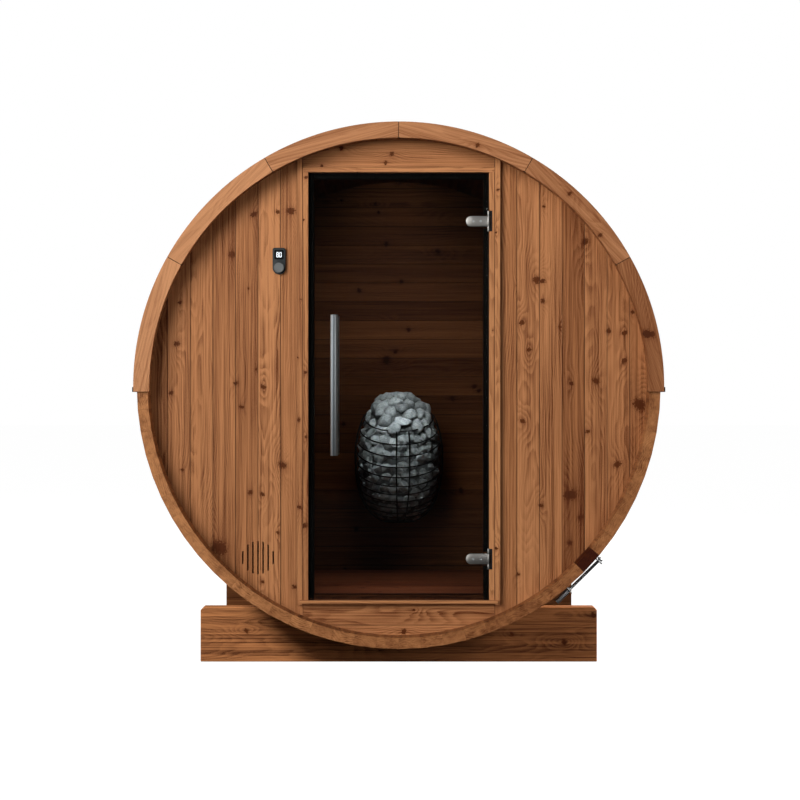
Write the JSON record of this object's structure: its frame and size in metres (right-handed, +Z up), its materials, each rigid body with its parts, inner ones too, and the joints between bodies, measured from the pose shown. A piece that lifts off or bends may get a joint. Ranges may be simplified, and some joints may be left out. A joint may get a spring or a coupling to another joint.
{
  "type": "barrel sauna",
  "caption": "Round staved wooden sauna cabin lying on two cradles, with a hinged tinted glass door, boarded end walls, a shingled roof half and a caged stone heater inside.",
  "frame": {"origin": "on the ground, under the middle of the barrel", "axes": "+X to the right as one faces the door, +Y from the door end to the back end along the barrel's axis, +Z up"},
  "size_m": [2.054, 1.49, 2.113],
  "materials": {
    "stave_wood": "planed and oiled softwood",
    "wall_wood": "planed and oiled softwood",
    "frame_wood": "planed and oiled softwood",
    "trim_wood": "planed and oiled softwood",
    "cradle_wood": "stained softwood",
    "floor_wood": "planed softwood",
    "tinted_glass": "clear, grey tinted",
    "hardware_steel": "brushed",
    "band_steel": "satin",
    "panel_black": "satin",
    "knob_grey": "satin",
    "shingle": "mineral-faced bitumen",
    "eave_metal": "satin dark brown",
    "cage_steel": "satin black",
    "stone": "rough"
  },
  "bodies": {
    "sauna_barrel": {"arch_trim_back": "trim_wood", "arch_trim_front": "trim_wood", "back_wall": "wall_wood", "band_bolt_front": "band_steel", "band_bolt_rear": "band_steel", "band_front": "band_steel", "band_rear": "band_steel", "control_panel": "panel_black", "cradle_front": "cradle_wood", "cradle_rear": "cradle_wood", "door_casing_left": "frame_wood", "door_casing_right": "frame_wood", "door_head": "frame_wood", "door_jamb_left": "frame_wood", "door_jamb_right": "frame_wood", "door_sill": "frame_wood", "eave_strip_left": "eave_metal", "eave_strip_right": "eave_metal", "floor_boards": "floor_wood", "floor_joists": "floor_wood", "front_wall_left": "wall_wood", "front_wall_over_door": "wall_wood", "front_wall_right": "wall_wood", "front_wall_under_door": "wall_wood", "heater_bracket": "cage_steel", "heater_cage": "cage_steel", "heater_stones": "stone", "hinge_bracket_lower": "hardware_steel", "hinge_bracket_upper": "hardware_steel", "roof_cover_left": "shingle", "roof_cover_right": "shingle", "staves_1": "stave_wood", "staves_2": "stave_wood", "staves_3": "stave_wood", "staves_4": "stave_wood", "staves_5": "stave_wood", "staves_6": "stave_wood", "staves_7": "stave_wood", "staves_8": "stave_wood"},
    "door": {"door_glass": "tinted_glass", "pull_bar_outside": "hardware_steel", "pull_bar_inside": "hardware_steel", "hinge_leaf_lower": "hardware_steel", "hinge_leaf_upper": "hardware_steel"},
    "control_dial": {"control_knob": "knob_grey"}
  },
  "joints": [
    {"name": "door_swing", "type": "hinge", "parent": "sauna_barrel", "child": "door", "pos_m": [0.3495, -0.6565, 1.0815], "axis": [0, 0, 1], "range_deg": [0, 110]},
    {"name": "dial_turn", "type": "hinge", "parent": "sauna_barrel", "child": "control_dial", "pos_m": [-0.466, -0.666, 1.5575], "axis": [0, 1, 0], "continuous": true}
  ]
}
